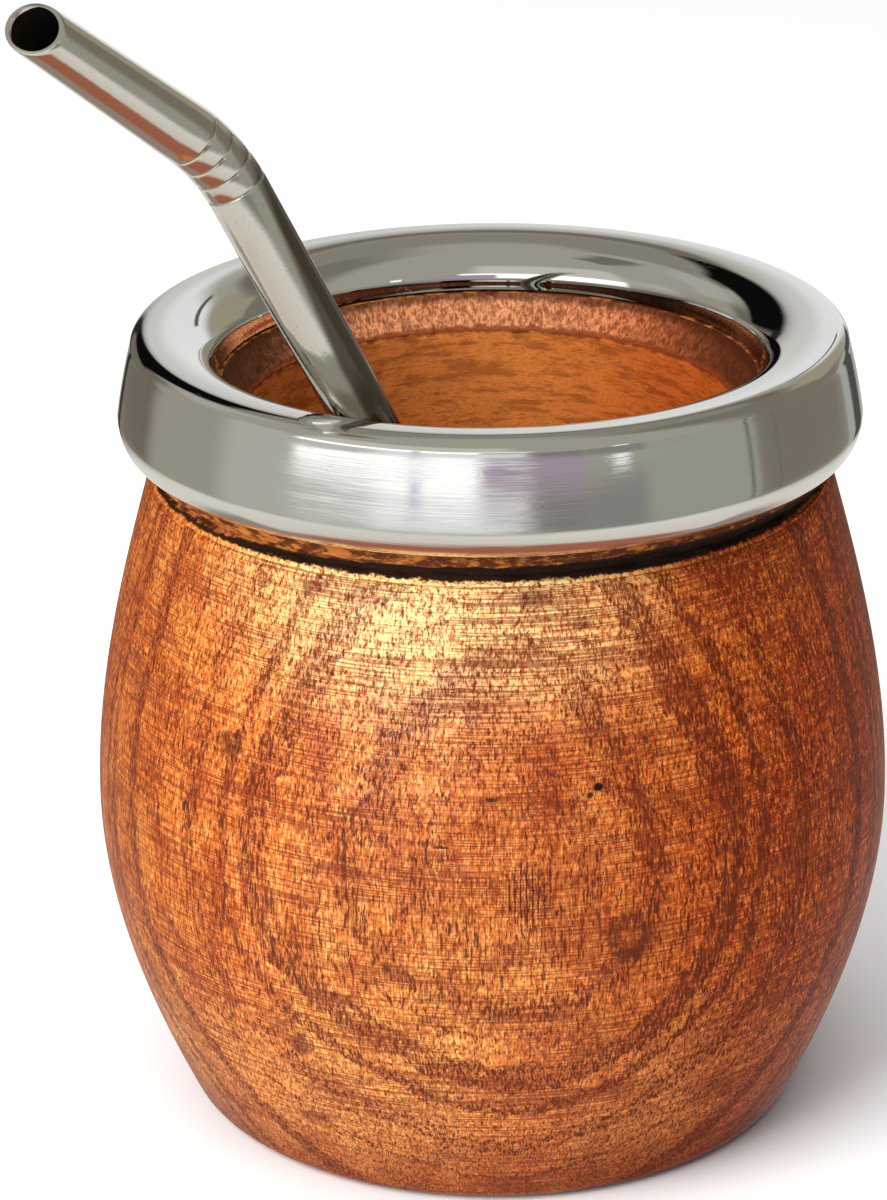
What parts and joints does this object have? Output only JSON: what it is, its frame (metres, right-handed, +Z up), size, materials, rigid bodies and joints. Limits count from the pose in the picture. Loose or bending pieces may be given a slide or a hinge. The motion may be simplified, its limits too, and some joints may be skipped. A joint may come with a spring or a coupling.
{
  "type": "wooden mate cup with steel rim and straw",
  "caption": "Turned barrel-shaped wooden mate cup with a rolled metal rim and a bent metal drinking straw leaning in it, empty.",
  "frame": {"origin": "centre of the cup's flat base, on the surface it stands on", "axes": "+Z up along the cup's turning axis; -Y is the front of the picture, and the straw leans to the front left, towards -X and -Y"},
  "size_m": [0.0825, 0.08, 0.1213],
  "materials": {
    "wood": "satin lacquered orange-brown wood with fine dark pores and a burnt groove",
    "rim_steel": "mirror polish with fine turned lines on the skirt",
    "straw_steel": "polished steel tube, slightly grey"
  },
  "bodies": {
    "root": {"cup": "wood", "rim": "rim_steel", "straw": "straw_steel"}
  },
  "joints": []
}
